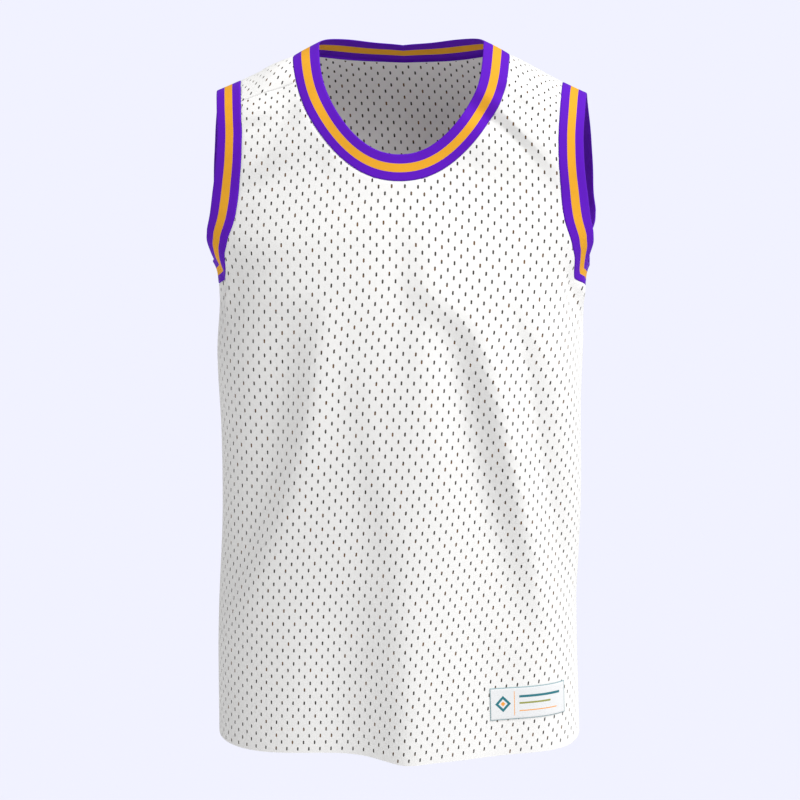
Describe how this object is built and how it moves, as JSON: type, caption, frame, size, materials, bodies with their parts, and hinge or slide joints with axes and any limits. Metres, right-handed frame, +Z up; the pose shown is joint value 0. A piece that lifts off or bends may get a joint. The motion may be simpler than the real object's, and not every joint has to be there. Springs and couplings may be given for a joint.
{
  "type": "basketball jersey",
  "caption": "Sleeveless mesh basketball jersey, filled out as worn with nobody inside: open neck, armholes and hem, striped knit bands and a plain hem patch.",
  "frame": {"origin": "midway between the two shoulders, 8 mm below where the neck seam crosses their tops, where the wearer's shoulders hold the jersey up", "axes": "+Z up the body, the front of the jersey towards -Y, the wearer's left towards +X"},
  "size_m": [0.4025, 0.2319, 0.7439],
  "materials": {
    "white_mesh": "open-hole warp-knit polyester mesh, semi-matt",
    "rib_knit": "three-stripe flat rib knit in purple and gold, soft sheen",
    "woven_patch": "tightly woven pale label cloth, matt"
  },
  "bodies": {
    "root": {"front_panel": "white_mesh", "back_panel": "white_mesh", "neckband": "rib_knit", "right_armhole_band": "rib_knit", "left_armhole_band": "rib_knit", "hem_patch": "woven_patch"}
  },
  "joints": []
}
